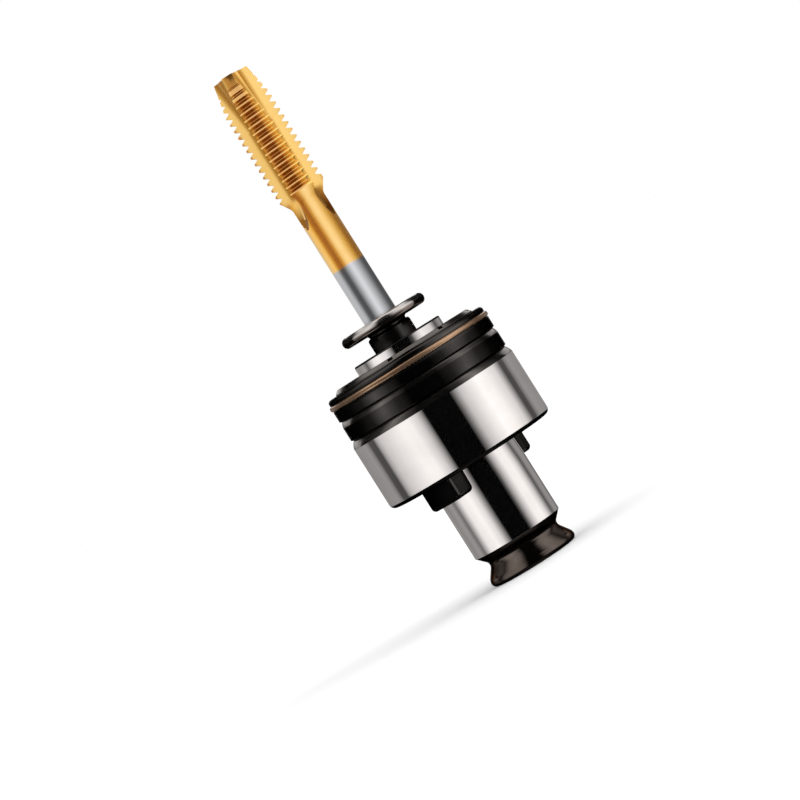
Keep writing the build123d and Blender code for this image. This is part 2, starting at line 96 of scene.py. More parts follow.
# Studio: a pale room with two tall side panels and a dark gap where the camera stands
studio = {
    "panels": [  # degrees round from the camera, brightness
        (-180, 0.27), (-122, 0.31), (-114, 0.22), (-110, 0.08), (-100, 0.07), (-95, 0.40),
        (-88, 0.62), (-67, 0.86), (-52, 1.03), (-39, 1.0), (-28, 0.68),
        (-22, 0.40), (-17, 0.001), (21, 0.001), (25.5, 0.17), (34, 0.60),
        (47, 0.90), (60, 1.14), (75, 1.02), (92, 0.74), (101, 0.30),
        (106, 0.07), (114, 0.08), (118, 0.20), (126, 0.31), (180, 0.27),
    ],
    "rearFrom": 116.0,  # from here round the back, brightness goes by elevation
    "rearTo": 128.0,
    "rear": [(-90, 0.02), (-24, 0.02), (-6, 0.26), (4, 0.29), (9, 0.90), (18, 0.90), (24, 0.02), (90, 0.02)],
    "below": [(-90, 0.13), (-72, 0.12), (-58, 0.02), (90, 0.02)],
    "belowStart": -14.0,  # elevations between which the light from below takes over
    "belowEnd": -28.0,
    "crownFrom": 46.0,  # above this elevation, and from this far round, the room is bright
    "crownTo": 53.0,
    "crownTurnFrom": 84.0,
    "crownTurnTo": 96.0,
    "above": 1.0,
    "aboveStart": 79.0,
    "aboveEnd": 86.0,
    "tint": (1.0, 0.965, 0.95),
}


def addNode(tree, kind, **settings):
    node = tree.nodes.new(kind)
    for name, value in settings.items():
        setattr(node, name, value)
    return node


def mathNode(tree, operation, first, second=None):
    node = addNode(tree, "ShaderNodeMath", operation=operation)
    for socket, value in zip(node.inputs, (first, second)):
        if isinstance(value, bpy.types.NodeSocket):
            tree.links.new(value, socket)
        elif value is not None:
            socket.default_value = value
    return node.outputs[0]


def rampNode(tree, factor, stops):
    node = addNode(tree, "ShaderNodeValToRGB")
    ramp = node.color_ramp
    while len(ramp.elements) < len(stops):
        ramp.elements.new(0.5)
    for element, (place, colour) in zip(ramp.elements, stops):
        element.position = place
        element.color = (*colour, 1.0)
    tree.links.new(factor, node.inputs["Fac"])
    return node.outputs["Color"]


def rangeNode(tree, value, low, high, toLow=0.0, toHigh=1.0):
    node = addNode(tree, "ShaderNodeMapRange")
    tree.links.new(value, node.inputs["Value"])
    node.inputs["From Min"].default_value = low
    node.inputs["From Max"].default_value = high
    node.inputs["To Min"].default_value = toLow
    node.inputs["To Max"].default_value = toHigh
    return node.outputs["Result"]


def mixColour(tree, factor, first, second, blend="MIX"):
    node = addNode(tree, "ShaderNodeMix", data_type="RGBA", blend_type=blend)
    for socket, value in ((node.inputs[0], factor), (node.inputs[6], first), (node.inputs[7], second)):
        if isinstance(value, bpy.types.NodeSocket):
            tree.links.new(value, socket)
        elif isinstance(value, tuple):
            socket.default_value = (*value, 1.0)
        else:
            socket.default_value = value
    return node.outputs[2]


def aroundCamera(tree, direction):  # turn from the camera's side in radians, and the direction's parts
    centred = addNode(tree, "ShaderNodeVectorRotate", rotation_type="Z_AXIS")
    tree.links.new(direction, centred.inputs["Vector"])
    centred.inputs["Angle"].default_value = -math.radians(cameraView["direction"])
    parts = addNode(tree, "ShaderNodeSeparateXYZ")
    tree.links.new(centred.outputs["Vector"], parts.inputs[0])
    return mathNode(tree, "ARCTAN2", parts.outputs["Y"], parts.outputs["X"]), parts


def betweenDegrees(tree, angle, low, high):  # 0 to 1 as an angle in radians goes from low to high
    return rangeNode(tree, angle, math.radians(low), math.radians(high))


def angleRamp(tree, angle, levels, span):  # brightness by angle, between minus span and span degrees
    place = betweenDegrees(tree, angle, -span, span)
    stops = []
    for degrees, level in levels:
        stops.append(((degrees + span) / span / 2, level if isinstance(level, tuple) else (level,) * 3))
    return rampNode(tree, place, stops)


def tintedLight(tree, light):  # the lamps are slightly warm
    return mixColour(tree, 1.0, light, studio["tint"], "MULTIPLY")


def mirrored(tree, path):  # 1 for a ray that comes from a shiny or clear surface
    return mathNode(tree, "MAXIMUM", path.outputs["Is Glossy Ray"], path.outputs["Is Transmission Ray"])


def lightStudio(look):
    world = bpy.data.worlds.new("studioRoom")
    world.use_nodes = True
    bpy.context.scene.world = world
    tree = world.node_tree
    tree.nodes.clear()
    coords = addNode(tree, "ShaderNodeTexCoord")
    turn, parts = aroundCamera(tree, coords.outputs["Generated"])
    rise = mathNode(tree, "ARCSINE", parts.outputs["Z"])
    offCamera = mathNode(tree, "ABSOLUTE", turn)
    away = betweenDegrees(tree, offCamera, look["rearFrom"], look["rearTo"])
    low = betweenDegrees(tree, rise, look["belowStart"], look["belowEnd"])
    high = betweenDegrees(tree, rise, look["aboveStart"], look["aboveEnd"])
    over = betweenDegrees(tree, rise, look["crownFrom"], look["crownTo"])
    behind = betweenDegrees(tree, offCamera, look["crownTurnFrom"], look["crownTurnTo"])
    crown = mathNode(tree, "MULTIPLY", over, behind)
    lit = angleRamp(tree, turn, look["panels"], halfTurn)
    lit = mixColour(tree, away, lit, angleRamp(tree, rise, look["rear"], quarterTurn))
    lit = mixColour(tree, low, lit, angleRamp(tree, rise, look["below"], quarterTurn))
    lit = mixColour(tree, mathNode(tree, "MAXIMUM", high, crown), lit, (look["above"],) * 3)
    path = addNode(tree, "ShaderNodeLightPath")
    shown = mixColour(tree, mirrored(tree, path), white, tintedLight(tree, lit))
    shown = mixColour(tree, path.outputs["Is Camera Ray"], shown, white)
    background = addNode(tree, "ShaderNodeBackground")
    tree.links.new(shown, background.inputs["Color"])
    output = addNode(tree, "ShaderNodeOutputWorld")
    tree.links.new(background.outputs[0], output.inputs["Surface"])


lightStudio(studio)

softLamp = {"side": 60.0, "distance": 900.0, "height": 700.0, "size": 600.0, "power": 3.0}


def hangLamp(lamp):
    data = bpy.data.lights.new("softLamp", "AREA")
    data.shape = "DISK"
    data.size = lamp["size"] * mm
    data.energy = lamp["power"]
    bulb = bpy.data.objects.new("softLamp", data)
    bpy.context.scene.collection.objects.link(bulb)
    place = polar(cameraView["direction"] + lamp["side"], lamp["distance"], lamp["height"]) * mm
    bulb.location = place
    bulb.rotation_euler = (-place).to_track_quat("-Z", "Y").to_euler()
    bulb.visible_glossy = False  # it softens the shadow only, the panels make the reflections


hangLamp(softLamp)


def toObject(bm, name):
    mesh = bpy.data.meshes.new(name)
    bm.to_mesh(mesh)
    bm.free()
    piece = bpy.data.objects.new(name, mesh)
    bpy.context.scene.collection.objects.link(piece)
    return piece


def blankPaint(name):
    paint = bpy.data.materials.new(name)
    paint.use_nodes = True
    paint.node_tree.nodes.clear()
    return paint, paint.node_tree


def mixedSurface(tree, factor, first, second):
    mixer = addNode(tree, "ShaderNodeMixShader")
    for socket, source in zip(mixer.inputs, (factor, first.outputs[0], second.outputs[0])):
        tree.links.new(source, socket)
    output = addNode(tree, "ShaderNodeOutputMaterial")
    tree.links.new(mixer.outputs[0], output.inputs["Surface"])


floorSize = {"reach": 6.0, "drop": 0.02}  # half its width in metres, and how far below the foot in mm


def layFloor(size):
    bm = bmesh.new()
    bmesh.ops.create_grid(bm, x_segments=1, y_segments=1, size=size["reach"])
    bmesh.ops.translate(bm, verts=bm.verts, vec=(0, 0, -size["drop"] * mm))
    floor = toObject(bm, "paleFloor")
    paint, tree = blankPaint("paleFloor")
    matt = addNode(tree, "ShaderNodeBsdfDiffuse")
    matt.inputs["Color"].default_value = (*white, 1.0)
    clear = addNode(tree, "ShaderNodeBsdfTransparent")
    path = addNode(tree, "ShaderNodeLightPath")
    mixedSurface(tree, mirrored(tree, path), matt, clear)  # reflections don't see it
    floor.data.materials.append(paint)


layFloor(floorSize)

nearAndFar = ((0, 90), (180, 90))  # each arc's middle and reach
allRound = ((0, 180),)
cardSteps = 96
shankStripes = [
    (-180, 0.60), (-104, 0.80), (-72, 0.85), (-59, 0.56), (-46, 0.13), (-27, 0.10), (-13, 0.50),
    (0, 0.92), (14, 1.25), (28, 1.0), (45, 0.66), (60, 0.38), (75, 0.16), (104, 0.09), (180, 0.60),
]
# Reflection cards: unseen tubes close round the turned parts, and only glossy rays see their stripes
cards = {  # arcs and stripes are in degrees from the camera, with each stripe's brightness
    "spigotCard": {
        "bottom": 4.6, "top": 23.1, "radius": 12.0, "arcs": nearAndFar,
        "stripes": [
            (-89, 0.26), (-72, 0.33), (-61, 0.16), (-55, 0.45), (-47, 0.90), (-32, 1.05), (-22, 0.78),
            (-15, 0.28), (-10, 0.001), (18.5, 0.001), (22, 0.09), (30, 0.60), (38, 1.0), (50, 1.03),
            (59, 0.72), (66, 0.34), (72, 0.09), (84, 0.30), (89, 0.28),
        ],
    },
    "housingCard": {
        "bottom": 22.9, "top": 36.95, "radius": 19.5, "arcs": nearAndFar,
        "stripes": [
            (-89, 0.27), (-68, 0.31), (-63.5, 0.22), (-61, 0.08), (-55, 0.07), (-52, 0.40),
            (-48, 0.62), (-36.5, 0.86), (-28, 1.03), (-21, 1.0), (-15, 0.68), (-12, 0.36),
            (-9.2, 0.001), (11.3, 0.001), (13.8, 0.17), (18.3, 0.60), (25.4, 0.90), (32.5, 1.14),
            (40.8, 1.02), (50.4, 0.74), (55.5, 0.30), (58.5, 0.07), (63.3, 0.08), (65.7, 0.20),
            (70.7, 0.31), (89, 0.27),
        ],
    },
    "gripCard": {
        "bottom": 36.95, "top": 44.7, "radius": 19.5, "arcs": ((0, 75), (180, 75)),
        "stripes": [
            (-74, 0.02), (-62, 0.02), (-47, 0.12), (-34, 1.0), (-22, 0.24), (-12, 0.003),
            (12, 0.003), (22, 0.18), (34, 1.1), (47, 0.26), (62, 0.02), (74, 0.02),
        ],
    },
    "wireCard": {
        "bottom": 44.7, "top": 46.35, "radius": 19.5, "arcs": nearAndFar,
        "stripes": [
            (-89, 0.25), (-70, 0.06), (-50, 0.01), (-34, 0.04), (-20, 0.03), (0, 0.03), (11, 0.16),
            (22, 0.60), (34, 1.1), (47, 0.60), (62, 0.05), (89, 0.25),
        ],
    },
    "rimCard": {
        "bottom": 46.35, "top": 47.5, "radius": 19.5, "arcs": nearAndFar,
        "stripes": [
            (-89, 0.12), (-66, 0.03), (-48, 0.22), (-34, 0.52), (-22, 0.36), (-11, 0.08), (-3, 0.003),
            (8, 0.003), (13, 0.10), (22, 0.85), (34, 1.6), (47, 0.90), (62, 0.03), (89, 0.03),
        ],
    },
    "collarCard": {
        "bottom": 48.45, "top": 50.4, "radius": 12.0, "arcs": nearAndFar,
        "stripes": [
            (-89, 0.26), (-71, 0.34), (-60, 0.12), (-54, 0.40), (-45, 0.90), (-36, 1.0), (-22, 0.80),
            (-14, 0.30), (-9, 0.001), (16, 0.001), (22, 0.07), (29, 0.60), (38, 1.0), (57, 0.76),
            (65, 0.34), (71, 0.09), (80, 0.20), (89, 0.31),
        ],
    },
    "stemCard": {
        "bottom": 50.45, "top": 53.9, "radius": 12.0, "arcs": nearAndFar,
        "stripes": [
            (-89, 0.08), (-66, 0.15), (-41, 0.18), (-24, 0.02), (20, 0.02), (30, 0.20), (41, 0.80),
            (55, 0.60), (70, 0.36), (89, 0.08),
        ],
    },
    "flangeFlags": {
        "bottom": 52.2, "top": 58.5, "radius": 10.5, "arcs": ((90, 34), (-90, 34)),
        "stripes": [(-90, 0.003), (90, 0.003)],
    },
    "shankCard": {
        "bottom": 56.2, "top": 67.8, "radius": 6.5, "arcs": allRound, "rides": "tap",
        "stripes": shankStripes,
    },
    "pulledCard": {  # for the shank that shows when the tap is pulled
        "bottom": 56.2, "top": 84.0, "radius": 6.6, "arcs": allRound,
        "stripes": shankStripes,
    },
    "goldCard": {  # its dark stripes are amber, as the gold throws on itself
        "bottom": 67.8, "top": 84.0, "radius": 6.5, "arcs": allRound, "rides": "tap",
        "stripes": [
            (-180, 0.60), (-104, (0.76, 0.84, 1.0)), (-72, 1.0), (-58, (0.78, 0.68, 0.35)),
            (-46, (0.40, 0.18, 0.0)), (-27, (0.26, 0.08, 0.0)), (-14, (0.60, 0.42, 0.12)),
            (0, (1.0, 1.12, 1.5)), (14, (1.1, 1.28, 2.0)), (28, (1.0, 1.08, 1.4)),
            (42, (0.76, 0.74, 0.62)), (58, (0.48, 0.36, 0.12)), (75, (0.20, 0.09, 0.0)),
            (104, (0.18, 0.12, 0.08)), (180, 0.60),
        ],
    },
    "threadCard": {
        "bottom": 78.0, "top": 114.0, "radius": 12.0, "arcs": allRound, "rides": "tap",
        "stripes": [
            (-180, 0.50), (-118, 0.40), (-92, (0.25, 0.13, 0.01)), (-72, (0.40, 0.30, 0.10)),
            (-54, (0.92, 1.0, 1.1)), (-20, (0.98, 1.08, 1.25)), (0, (0.92, 1.05, 1.3)),
            (20, (1.0, 1.12, 1.3)), (70, (1.1, 1.2, 1.35)), (92, (0.55, 0.45, 0.25)),
            (112, (0.30, 0.18, 0.04)), (180, 0.50),
        ],
    },
}


def cardLight(name, card):
    paint, tree = blankPaint(name)
    sheet = addNode(tree, "ShaderNodeNewGeometry")
    turn, parts = aroundCamera(tree, sheet.outputs["Position"])  # stripes stay put when a card turns
    span = halfTurn
    if card["arcs"] != allRound:  # the far side has the same stripes as the near side
        turn = mathNode(tree, "ARCTAN2", parts.outputs["Y"], mathNode(tree, "ABSOLUTE", parts.outputs["X"]))
        span = quarterTurn
    glow = addNode(tree, "ShaderNodeEmission")
    tree.links.new(tintedLight(tree, angleRamp(tree, turn, card["stripes"], span)), glow.inputs["Color"])
    clear = addNode(tree, "ShaderNodeBsdfTransparent")
    mixedSurface(tree, sheet.outputs["Backfacing"], clear, glow)  # it glows on its inner side only
    return paint


def hangCard(name, card):
    bm = bmesh.new()
    levels = (card["bottom"], card["top"])
    for middle, reach in card["arcs"]:
        start = cameraView["direction"] + middle - reach
        rising = [bm.verts.new(polar(start, card["radius"], height) * mm) for height in levels]
        edge = bm.edges.new(rising)
        bmesh.ops.spin(bm, geom=rising + [edge], cent=(0, 0, 0), axis=upright, dvec=(0, 0, 0),
                       angle=math.radians(2 * reach), steps=cardSteps)
    for face in bm.faces:
        centre = face.calc_center_median()
        if face.normal.dot(Vector((centre.x, centre.y, 0))) < 0:
            face.normal_flip()
    sheet = toObject(bm, name)
    for ray in ("camera", "diffuse", "transmission", "volume_scatter", "shadow"):
        setattr(sheet, "visible_" + ray, False)
    sheet.data.materials.append(cardLight(name, card))
    if "rides" in card:
        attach(sheet, card["rides"])


for name, card in cards.items():
    hangCard(name, card)
print("stage: camera, light and floor")


# Finishes
def startFinish(name, metallic):
    finish = bpy.data.materials.new(name)
    finish.use_nodes = True
    tree = finish.node_tree
    shader = tree.nodes["Principled BSDF"]
    shader.inputs["Metallic"].default_value = metallic
    coords = addNode(tree, "ShaderNodeTexCoord")
    return finish, tree, shader, coords.outputs["Object"]


def noiseOn(tree, place, stretch, detail):
    mapping = addNode(tree, "ShaderNodeMapping")
    mapping.inputs["Scale"].default_value = stretch
    tree.links.new(place, mapping.inputs["Vector"])
    noise = addNode(tree, "ShaderNodeTexNoise")
    noise.inputs["Scale"].default_value = 1.0
    noise.inputs["Detail"].default_value = detail
    tree.links.new(mapping.outputs[0], noise.inputs["Vector"])
    return noise.outputs["Fac"]


def bumpFrom(tree, shader, height, strength, depth):
    bump = addNode(tree, "ShaderNodeBump")
    bump.inputs["Strength"].default_value = strength
    bump.inputs["Distance"].default_value = depth
    tree.links.new(height, bump.inputs["Height"])
    tree.links.new(bump.outputs[0], shader.inputs["Normal"])


steelGrain = {
    "rings": (25, 25, 9000),  # fine turning marks run round the axis
    "ringDetail": 2.0,
    "cloud": (160, 160, 240),
    "cloudDetail": 4.0,
    "colourFrom": 0.35,  # cloud values at the first and the second colour
    "colourTo": 0.65,
    "roughFrom": 0.35,
    "roughTo": 0.65,
    "depth": 0.000004,
}
goldGrain = {
    **steelGrain,
    "rings": (40, 40, 7000),
    "cloud": (220, 220, 160),
    "colourFrom": 0.3,
    "colourTo": 0.7,
}


def grainOn(tree, place, grain):
    rings = noiseOn(tree, place, grain["rings"], grain["ringDetail"])
    cloud = noiseOn(tree, place, grain["cloud"], grain["cloudDetail"])
    return rings, cloud, rangeNode(tree, cloud, grain["colourFrom"], grain["colourTo"])


def roughen(tree, shader, grain, rings, cloud, rough):
    shaded = mathNode(tree, "ADD", *[mathNode(tree, "MULTIPLY", part, 0.5) for part in (rings, cloud)])
    roughness = rangeNode(tree, shaded, grain["roughFrom"], grain["roughTo"], *rough)
    tree.links.new(roughness, shader.inputs["Roughness"])


def turnedMetal(name, dark, pale, rough, grooves=0.12, edge=1.0, metallic=1.0):
    finish, tree, shader, place = startFinish(name, metallic)
    shader.inputs["Specular Tint"].default_value = (edge, edge, edge, 1.0)  # shine at a glancing angle
    rings, cloud, tone = grainOn(tree, place, steelGrain)
    tree.links.new(mixColour(tree, tone, dark, pale), shader.inputs["Base Color"])
    roughen(tree, shader, steelGrain, rings, cloud, rough)
    bumpFrom(tree, shader, rings, grooves, steelGrain["depth"])
    return finish


def titaniumGold(name, coating, paintedLightAcrossLand=None, runoutShade=None):
    finish, tree, shader, place = startFinish(name, 1.0)
    parts = addNode(tree, "ShaderNodeSeparateXYZ")
    tree.links.new(place, parts.inputs[0])
    rings, cloud, tone = grainOn(tree, place, goldGrain)
    edge = mathNode(tree, "ADD", parts.outputs["Z"], mathNode(tree, "MULTIPLY", cloud, coating["waver"]))
    start = coating["start"] * mm + coating["waver"] / 2
    coated = rangeNode(tree, edge, start - coating["fade"] * mm, start + coating["fade"] * mm)
    gold = mixColour(tree, tone, coating["deepGold"], coating["paleGold"])
    if paintedLightAcrossLand:  # painted shade and highlight, darker or lighter by the turn round the axis within each land, the same on all three lands
        halfPitch = coating["landPitch"] / 2
        turn = mathNode(tree, "ARCTAN2", parts.outputs["Y"], parts.outputs["X"])
        turn = mathNode(tree, "SUBTRACT", turn, math.radians(coating["landTurn"] - halfPitch))
        turn = mathNode(tree, "FLOORED_MODULO", turn, math.radians(coating["landPitch"]))
        turn = mathNode(tree, "SUBTRACT", turn, math.radians(halfPitch))
        gold = mixColour(tree, 1.0, gold, angleRamp(tree, turn, paintedLightAcrossLand, halfPitch), "MULTIPLY")
    if runoutShade:  # painted shade, darker towards the lower end of each flute, where it runs out
        fading = rangeNode(tree, parts.outputs["Z"], runoutShade["dark"] * mm, runoutShade["clear"] * mm)
        gold = mixColour(tree, 1.0, gold, mixColour(tree, fading, runoutShade["tone"], white), "MULTIPLY")
    tree.links.new(mixColour(tree, coated, coating["bareSteel"], gold), shader.inputs["Base Color"])
    tree.links.new(rangeNode(tree, coated, 0.0, 1.0, 1.0, coating["metallic"]), shader.inputs["Metallic"])
    roughen(tree, shader, goldGrain, rings, cloud, coating["rough"])
    bumpFrom(tree, shader, rings, coating["grooves"], goldGrain["depth"])
    return finish


coatingLook = {
    "start": 67.8,  # height at which the coating begins
    "fade": 0.25,
    "waver": 0.0004,  # metres by which its edge wanders
    "metallic": 0.90,
    "deepGold": (0.90, 0.53, 0.13),
    "paleGold": (0.95, 0.59, 0.18),
    "bareSteel": (0.56, 0.585, 0.61),
    "rough": (0.17, 0.26),
    "grooves": 0.05,
    "landTurn": -136.4,
    "landPitch": 120,
    # painted shade on the thread's flanks and roots, darkest near each land's middle
    "flankPaintedShade": [
        (-60, (0.75, 0.72, 0.60)), (-28, (0.75, 0.72, 0.60)), (-22, (0.60, 0.46, 0.30)),
        (-16, (0.52, 0.36, 0.20)), (1, (0.51, 0.35, 0.21)), (10, (0.77, 0.74, 0.59)),
        (21, (0.92, 0.98, 0.90)), (60, (0.92, 0.98, 0.90)),
    ],
    # painted shade on the crests near each land's middle, painted highlight towards its far side
    "crestPaintedLight": [
        (-60, (1.0, 1.0, 1.1)), (-27, (1.0, 1.0, 1.1)), (-22, (0.86, 0.74, 0.80)), (1, (0.84, 0.70, 0.76)),
        (10, (0.94, 0.86, 0.84)), (20, (1.0, 1.06, 1.0)), (60, (1.0, 1.08, 1.2)),
    ],
    "runoutShade": {"dark": 79.6, "clear": 82.6, "tone": (0.30, 0.20, 0.08)},  # heights and darkest tone of the painted shade
}
metals = {
    "brightSteel": {"dark": (0.89, 0.87, 0.86), "pale": (0.94, 0.92, 0.91), "rough": (0.05, 0.09)},
    "blackOxide": {
        "dark": (0.055, 0.053, 0.051), "pale": (0.075, 0.072, 0.069), "rough": (0.16, 0.24), "edge": 0.1,
    },
    "lugBlack": {
        "dark": (0.002, 0.002, 0.002), "pale": (0.004, 0.004, 0.004), "rough": (0.34, 0.42), "edge": 0.1,
    },
    "flankBlack": {
        "dark": (0.024, 0.024, 0.023), "pale": (0.036, 0.036, 0.034), "rough": (0.24, 0.32), "edge": 0.1,
    },
    # a lighter copy of the black: painted highlight on upward-facing ramps and the nut's top edge
    "paintedHighlightBlack": {"dark": (0.12, 0.113, 0.106), "pale": (0.17, 0.160, 0.150), "rough": (0.16, 0.24)},
    # painted shade, darker and browner, for the flange's lower half
    "rimPaintedShade": {
        "dark": (0.22, 0.185, 0.165), "pale": (0.32, 0.27, 0.245), "rough": (0.10, 0.16), "edge": 0.2,
    },
    "brownOxide": {
        "dark": (0.11, 0.092, 0.080), "pale": (0.17, 0.142, 0.125), "rough": (0.10, 0.16), "edge": 0.2,
    },
    # painted light for the flange's upper half
    "rimPaintedLight": {"dark": (0.54, 0.52, 0.50), "pale": (0.68, 0.66, 0.64), "rough": (0.12, 0.20)},
    "bronzeWire": {
        "dark": (0.40, 0.24, 0.145), "pale": (0.50, 0.32, 0.20), "rough": (0.24, 0.25),
        "grooves": 0.0, "metallic": 0.85,
    },
    "hardenedSteel": {"dark": (0.50, 0.49, 0.48), "pale": (0.62, 0.61, 0.60), "rough": (0.20, 0.34)},
    "springSteel": {"dark": (0.26, 0.26, 0.28), "pale": (0.36, 0.36, 0.38), "rough": (0.22, 0.34)},
    "polishedBall": {
        "dark": (0.80, 0.80, 0.81), "pale": (0.88, 0.88, 0.89), "rough": (0.05, 0.09), "grooves": 0.03,
    },
}
golds = {
    "titaniumGold": {},
    "flankPaintedShadeGold": {"paintedLightAcrossLand": coatingLook["flankPaintedShade"]},
    "crestPaintedLightGold": {"paintedLightAcrossLand": coatingLook["crestPaintedLight"]},
    "runoutPaintedShadeGold": {"runoutShade": coatingLook["runoutShade"]},
}
finishes = {}
for name, look in metals.items():
    finishes[name] = turnedMetal(name, **look)
for name, look in golds.items():
    finishes[name] = titaniumGold(name, coatingLook, **look)
print("stage: finishes")


# Shaping tools
cornerSteps = 5
weldGap = 1e-7  # metres


def lathe(corners, steps, closed=True):  # corners are (radius, height, corner rounding) in mm
    bm = bmesh.new()
    dots = [bm.verts.new((radius * mm, 0, height * mm)) for radius, height, rounding in corners]
    following = dots[1:] + dots[:1] if closed else dots[1:]
    for here, there in zip(dots, following):
        bm.edges.new((here, there))
    for dot, (radius, height, rounding) in zip(dots, corners):
        if rounding:
            bmesh.ops.bevel(bm, geom=[dot], offset=rounding * mm, offset_type="OFFSET", affect="VERTICES",
                            segments=cornerSteps, profile=0.5, material=-1, clamp_overlap=False)
    bmesh.ops.spin(bm, geom=bm.verts[:] + bm.edges[:], cent=(0, 0, 0), axis=upright, dvec=(0, 0, 0),
                   angle=2 * math.pi, steps=steps, use_merge=True)
    tidyMesh(bm)
    return bm


def tidyMesh(bm):
    bmesh.ops.remove_doubles(bm, verts=bm.verts[:], dist=weldGap)
    bmesh.ops.dissolve_degenerate(bm, edges=bm.edges[:], dist=weldGap)
    bmesh.ops.recalc_face_normals(bm, faces=bm.faces[:])


def combine(piece, bm, operation="DIFFERENCE"):
    tool = toObject(bm, "tool")
    modifier = piece.modifiers.new("combine", "BOOLEAN")
    modifier.object = tool
    modifier.operation = operation
    modifier.solver = "EXACT"
    bpy.context.view_layer.update()
    evaluated = piece.evaluated_get(bpy.context.evaluated_depsgraph_get())
    made = bpy.data.meshes.new_from_object(evaluated)
    piece.modifiers.clear()
    piece.data = made
    bpy.data.objects.remove(tool)


def turnMesh(bm, degrees, axis="Z"):
    turning = Matrix.Rotation(math.radians(degrees), 3, axis)
    bmesh.ops.rotate(bm, verts=bm.verts, cent=(0, 0, 0), matrix=turning)


def moveMesh(bm, place):  # in mm
    bmesh.ops.translate(bm, verts=bm.verts, vec=Vector(place) * mm)


def pullFaces(bm, way):  # along a way in metres; gives what it added
    grown = bmesh.ops.extrude_face_region(bm, geom=bm.faces[:])["geom"]
    ends = [part for part in grown if isinstance(part, bmesh.types.BMVert)]
    bmesh.ops.translate(bm, verts=ends, vec=way)
    return grown


def sweepHelix(bm, pitch, turns, stepsPerTurn):
    bmesh.ops.spin(bm, geom=bm.verts[:] + bm.edges[:] + bm.faces[:], cent=(0, 0, 0), axis=upright,
                   dvec=(0, 0, pitch / stepsPerTurn * mm), angle=2 * math.pi * turns,
                   steps=stepsPerTurn * turns)


def block(size, centre, turn):  # size and centre in mm, turned about Z in degrees
    bm = bmesh.new()
    bmesh.ops.create_cube(bm, size=1.0)
    bmesh.ops.scale(bm, verts=bm.verts, vec=Vector(size) * mm)
    moveMesh(bm, centre)
    turnMesh(bm, turn)
    return bm


def rod(radius, length, start, direction, segments):  # from start along direction, in mm
    bm = bmesh.new()
    bmesh.ops.create_cone(bm, cap_ends=True, segments=segments, radius1=radius * mm, radius2=radius * mm,
                          depth=length * mm)
    bmesh.ops.translate(bm, verts=bm.verts, vec=(0, 0, length / 2 * mm))
    facing = Vector(direction).to_track_quat("Z", "Y").to_matrix()
    bmesh.ops.rotate(bm, verts=bm.verts, cent=(0, 0, 0), matrix=facing)
    moveMesh(bm, start)
    return bm


squareOn = 0.97  # outward part of the normal on a face that looks straight away from the axis


def finishPiece(piece, body, nodes, looks, sharpAngle=30.0):
    bm = bmesh.new()
    bm.from_mesh(piece.data)
    tidyMesh(bm)
    for face in bm.faces:
        face.smooth = True
    for edge in bm.edges:
        edge.smooth = len(edge.link_faces) == 2 and edge.calc_face_angle(0) < math.radians(sharpAngle)
    openEdges = sum(len(edge.link_faces) != 2 for edge in bm.edges)
    bm.to_mesh(piece.data)
    bm.free()
    piece.data.materials.clear()
    for look in looks:
        piece.data.materials.append(finishes[look])
    flatter = piece.modifiers.new("faceNormals", "WEIGHTED_NORMAL")  # keeps long faces true
    flatter.keep_sharp = True
    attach(piece, body)
    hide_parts(*nodes)
    print("stage:", piece.name, len(piece.data.polygons), "faces,", openEdges, "open edges")


def paintFaces(piece, looks, choose):  # choose names a finish from a face's place and facing
    for face in piece.data.polygons:
        centre = face.center / mm
        radius = math.hypot(centre.x, centre.y)
        outward = (face.normal.x * centre.x + face.normal.y * centre.y) / max(radius, 0.001)
        face.material_index = looks.index(choose(radius, centre.z, face.normal.z, outward))


# Drive body: foot, spigot, lugs and housing
bodySize = {
    "outline": [
        (6.3, 0.0, 0.0), (9.4, 0.0, 0.8), (9.4, 1.35, 0.50), (7.67, 3.85, 0.36), (7.67, 4.65, 0.38),
        (9.5, 6.55, 0.06), (9.5, 18.55, 0.0), (9.3, 23.15, 0.0), (18.0, 23.15, 1.15),
        (18.0, 37.0, 0.06), (17.885, 37.375, 0.0), (17.705, 37.75, 0.0), (17.46, 38.125, 0.0),
        (17.15, 38.5, 0.0), (17.6, 38.7, 0.07), (17.6, 41.2, 0.0), (17.585, 41.575, 0.0),
        (17.505, 41.95, 0.0), (17.36, 42.325, 0.0), (17.15, 42.7, 0.0), (17.6, 42.9, 0.07),
        (17.6, 45.15, 0.1), (16.75, 45.15, 0.0), (16.75, 46.35, 0.0), (17.5, 46.35, 0.1),
        (17.5, 47.5, 0.7), (15.8, 47.5, 0.0), (15.5, 47.2, 0.0), (15.5, 37.515, 0.0),
        (14.6, 37.515, 0.0), (14.6, 27.0, 0.3), (5.03, 27.0, 0.0), (5.03, 16.0, 0.0),
        (6.0, 16.0, 0.0), (6.0, 0.3, 0.0),
    ],
    "steps": 256,
    "lugReach": 13.9,
    "lugRoot": 6.5,
    "lugWidth": 8.0,
    "lugBottom": 18.65,
    "lugTop": 23.4,
    "lugCorner": 1.0,
    "lugEdge": 0.9,
    "lugFaceSteps": 12,
    "lugCornerSteps": 8,
    "lugEdgeSteps": 6,
    "pocketCount": 12,
    "pocketRadius": 2.55,
    "pocketCircle": 10.8,
    "pocketHeight": 28.3,
    "window": (4.0, 2.5, 1.2),
    "windowCentre": (15.5, 0.5, 45.75),
    "windowAngle": 29.3,
    "footTop": 6.5,  # from here down: where the finish changes, by height, radius and facing
    "spigotTop": 18.6,
    "lugsTop": 23.1,
    "spigotReach": 9.6,
    "spigotRise": 0.5,
    "undersideRise": -0.2,
    "lugSide": 0.5,
    "highlightTop": 42.7,
    "highlightRise": (0.15, 0.8),
    "brightFrom": 23.8,
    "brightTo": 36.98,
    "outsideFrom": 17.0,
}


